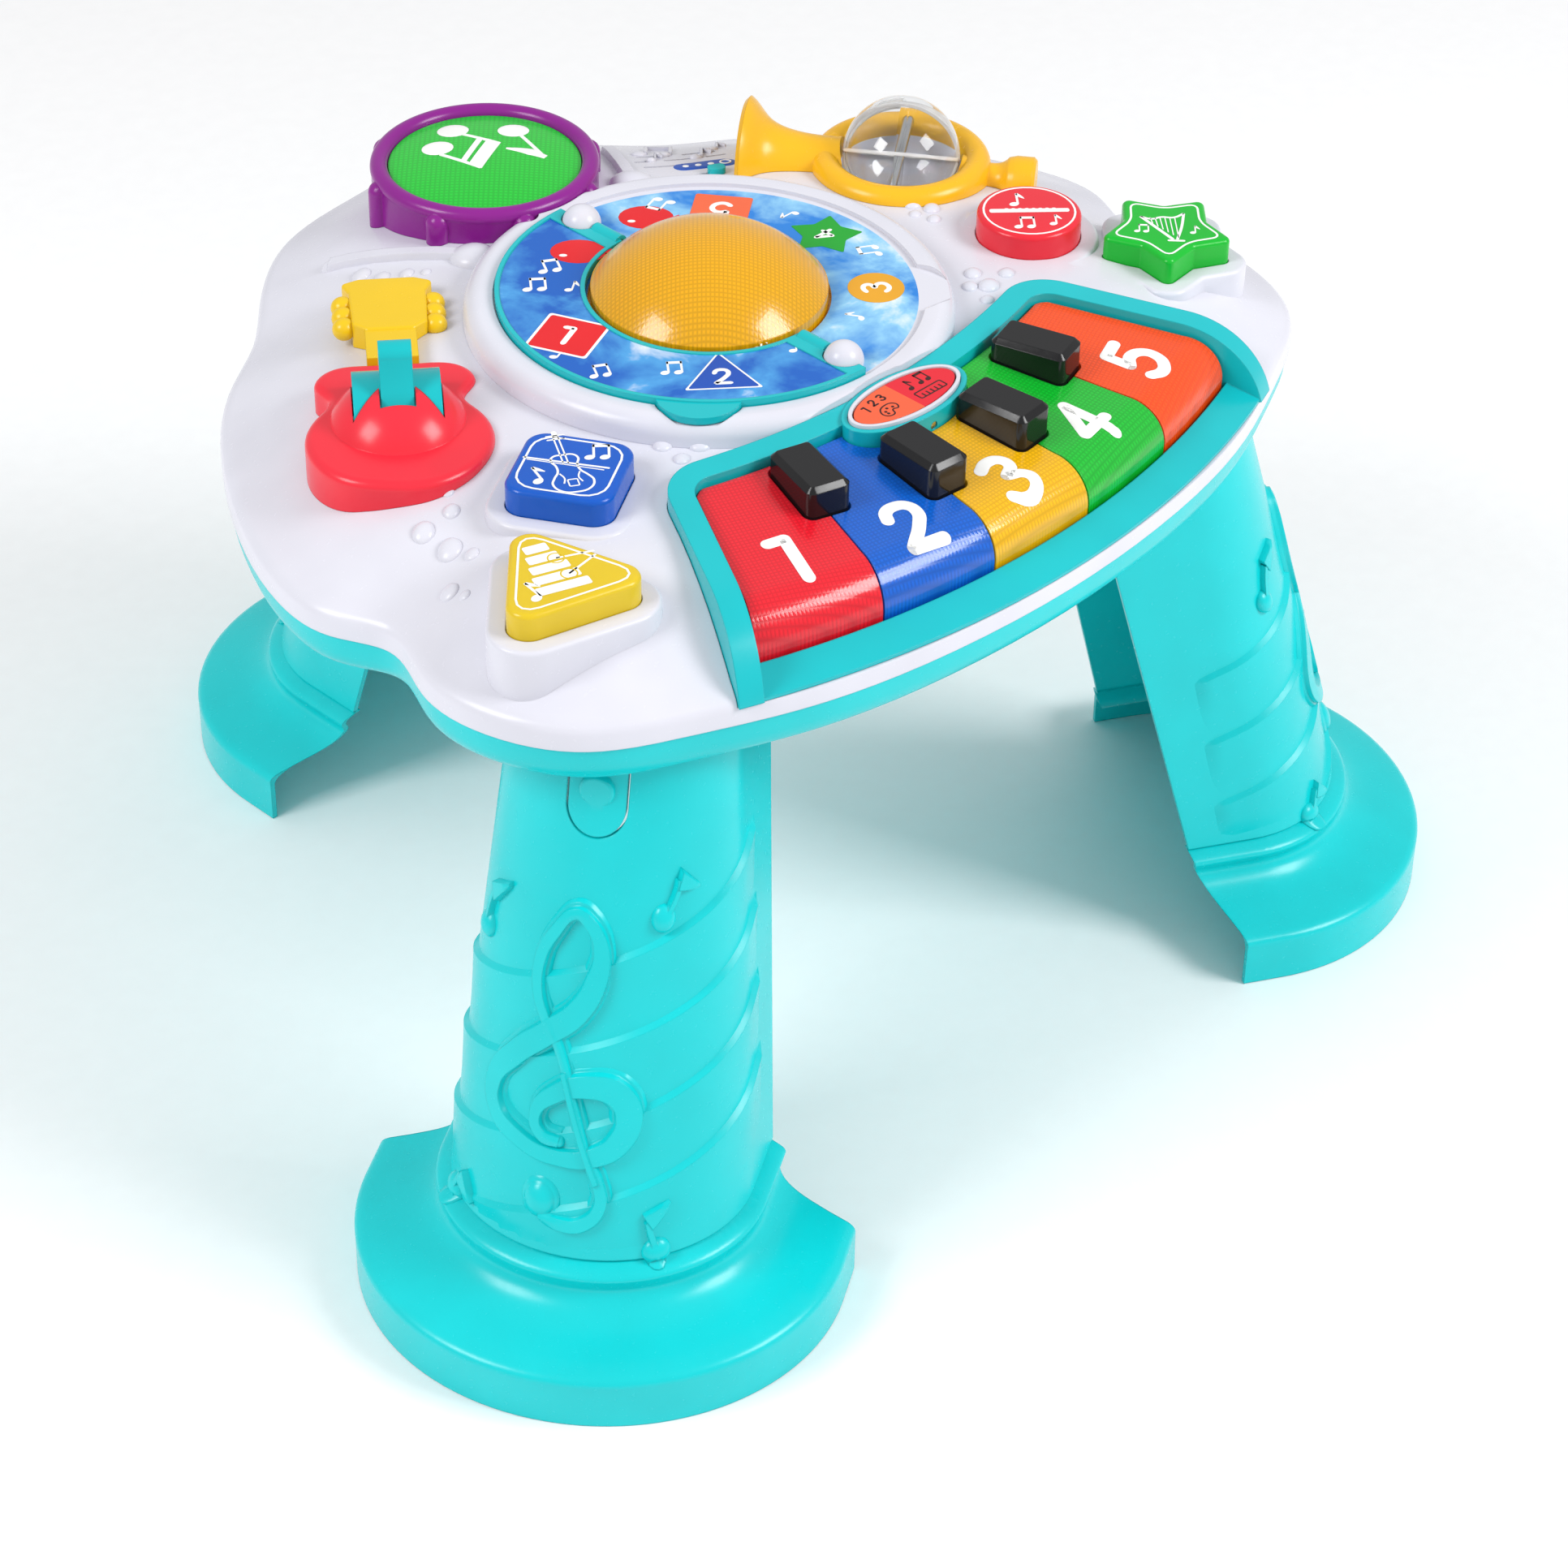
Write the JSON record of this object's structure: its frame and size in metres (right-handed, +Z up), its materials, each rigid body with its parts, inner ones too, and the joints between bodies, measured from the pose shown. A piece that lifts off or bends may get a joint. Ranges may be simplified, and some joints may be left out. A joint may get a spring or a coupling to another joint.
{
  "type": "musical activity table",
  "caption": "Round-cornered toy table on splayed shell legs, with piano keys, a page that turns, drum, guitar lever, horn with rolling ball, and press buttons",
  "frame": {"origin": "on the floor, in the middle of the footprint", "axes": "+Z up, +X to the player's right at the piano, +Y away from the player"},
  "size_m": [0.6706, 0.6124, 0.401],
  "materials": {
    "white": "satin moulded ABS",
    "teal": "satin moulded ABS",
    "key_red": "translucent, fine texture",
    "key_blue": "translucent, fine texture",
    "key_yellow": "translucent, fine texture",
    "key_green": "translucent, fine texture",
    "key_orange": "translucent, fine texture",
    "steel": "plated steel",
    "black": "gloss",
    "orange": "satin",
    "page": "satin, with printed faces",
    "clear_yellow": "translucent, fine texture",
    "purple": "satin",
    "clear_green": "translucent, fine ribs",
    "red": "satin",
    "yellow": "satin",
    "blue": "satin",
    "green": "satin",
    "clear": "clear",
    "board": "printed circuit laminate",
    "silicone": "moulded silicone",
    "lamp": "clear epoxy",
    "speaker_black": "paper cone and frame",
    "cell": "plain sleeve, no marks"
  },
  "bodies": {
    "table": {"deck_cover": "white", "base_shell": "teal", "leg_front_left": "teal", "leg_front_right": "teal", "leg_back": "teal", "keyboard_frame": "teal", "key_pins": "steel", "black_keys": "black", "mode_rim": "white", "mode_pin": "steel", "book_bezel": "white", "hinge_knobs": "white", "hinge_pins": "steel", "light_dome": "clear_yellow", "drum_shell": "purple", "guitar_body": "red", "guitar_headstock": "yellow", "strum_axle": "steel", "horn": "yellow", "ball_axle": "steel", "switch_boards": "board", "tact_switches": "black", "key_switches": "silicone", "circuit_board": "board", "leds": "lamp", "speaker": "speaker_black", "battery_box": "black", "batteries": "cell", "battery_contacts": "steel", "battery_door": "teal", "door_screw": "steel", "case_screws": "steel"},
    "key_red": {"key_red": "key_red"},
    "key_blue": {"key_blue": "key_blue"},
    "key_yellow": {"key_yellow": "key_yellow"},
    "key_green": {"key_green": "key_green"},
    "key_orange": {"key_orange": "key_orange"},
    "button_blue": {"button_blue": "blue"},
    "button_yellow": {"button_yellow": "yellow"},
    "button_red": {"button_red": "red"},
    "button_green": {"button_green": "green"},
    "drum_head": {"drum_head": "clear_green"},
    "mode_switch": {"mode_switch": "orange"},
    "page": {"page_flap": "page"},
    "strum_lever": {"strum_lever": "teal"},
    "roller_ball": {"roller_ball": "clear"},
    "power_slider": {"power_slider": "teal"},
    "latch_front_left": {"latch_front_left": "teal"},
    "latch_front_right": {"latch_front_right": "teal"},
    "latch_back": {"latch_back": "teal"}
  },
  "joints": [
    {"name": "key_red_press", "type": "hinge", "parent": "table", "child": "key_red", "pos_m": [-0.08715, -0.13629, 0.34], "axis": [0.9245, -0.3811, 0], "range_deg": [0, 2], "stiffness_Nm_per_rad": 0.6},
    {"name": "key_blue_press", "type": "hinge", "parent": "table", "child": "key_blue", "pos_m": [-0.04337, -0.14389, 0.34], "axis": [0.981, -0.1942, 0], "range_deg": [0, 2], "stiffness_Nm_per_rad": 0.6},
    {"name": "key_yellow_press", "type": "hinge", "parent": "table", "child": "key_yellow", "pos_m": [0, -0.14636, 0.34], "axis": [1, 0, 0], "range_deg": [0, 2], "stiffness_Nm_per_rad": 0.6},
    {"name": "key_green_press", "type": "hinge", "parent": "table", "child": "key_green", "pos_m": [0.04337, -0.14389, 0.34], "axis": [0.981, 0.1942, 0], "range_deg": [0, 2], "stiffness_Nm_per_rad": 0.6},
    {"name": "key_orange_press", "type": "hinge", "parent": "table", "child": "key_orange", "pos_m": [0.08715, -0.13629, 0.34], "axis": [0.9245, 0.3811, 0], "range_deg": [0, 2], "stiffness_Nm_per_rad": 0.6},
    {"name": "button_blue_press", "type": "slide", "parent": "table", "child": "button_blue", "axis": [0, 0, -1], "range_m": [0, 0.003], "stiffness_N_per_m": 400},
    {"name": "button_yellow_press", "type": "slide", "parent": "table", "child": "button_yellow", "axis": [0, 0, -1], "range_m": [0, 0.003], "stiffness_N_per_m": 400},
    {"name": "button_red_press", "type": "slide", "parent": "table", "child": "button_red", "axis": [0, 0, -1], "range_m": [0, 0.003], "stiffness_N_per_m": 400},
    {"name": "button_green_press", "type": "slide", "parent": "table", "child": "button_green", "axis": [0, 0, -1], "range_m": [0, 0.003], "stiffness_N_per_m": 400},
    {"name": "drum_press", "type": "slide", "parent": "table", "child": "drum_head", "axis": [0, 0, -1], "range_m": [0, 0.0025], "stiffness_N_per_m": 600},
    {"name": "mode_tilt", "type": "hinge", "parent": "table", "child": "mode_switch", "pos_m": [0, -0.16285, 0.3605], "axis": [0, 1, 0], "range_deg": [-3, 3]},
    {"name": "page_turn", "type": "hinge", "parent": "table", "child": "page", "pos_m": [0, -0.03785, 0.3702], "axis": [0, 1, 0], "range_deg": [0, 180]},
    {"name": "strum_rock", "type": "hinge", "parent": "table", "child": "strum_lever", "pos_m": [-0.16506, -0.0027, 0.357], "axis": [-0.7771, 0.6293, 0], "range_deg": [-18, 18]},
    {"name": "ball_spin", "type": "hinge", "parent": "table", "child": "roller_ball", "pos_m": [0.171, -0.00285, 0.361], "axis": [0.8141, 0.5807, 0], "continuous": true},
    {"name": "power_slide", "type": "slide", "parent": "table", "child": "power_slider", "axis": [-0.8746, 0.4848, 0], "range_m": [0, 0.009]},
    {"name": "latch_front_left_press", "type": "hinge", "parent": "table", "child": "latch_front_left", "pos_m": [-0.21541, -0.18622, 0.2868], "axis": [0.5, -0.866, 0], "range_deg": [0, 4], "stiffness_Nm_per_rad": 0.25},
    {"name": "latch_front_right_press", "type": "hinge", "parent": "table", "child": "latch_front_right", "pos_m": [0.21541, -0.18622, 0.2868], "axis": [0.5, 0.866, 0], "range_deg": [0, 4], "stiffness_Nm_per_rad": 0.25},
    {"name": "latch_back_press", "type": "hinge", "parent": "table", "child": "latch_back", "pos_m": [0, 0.18688, 0.2868], "axis": [-1, 0, 0], "range_deg": [0, 4], "stiffness_Nm_per_rad": 0.25}
  ]
}
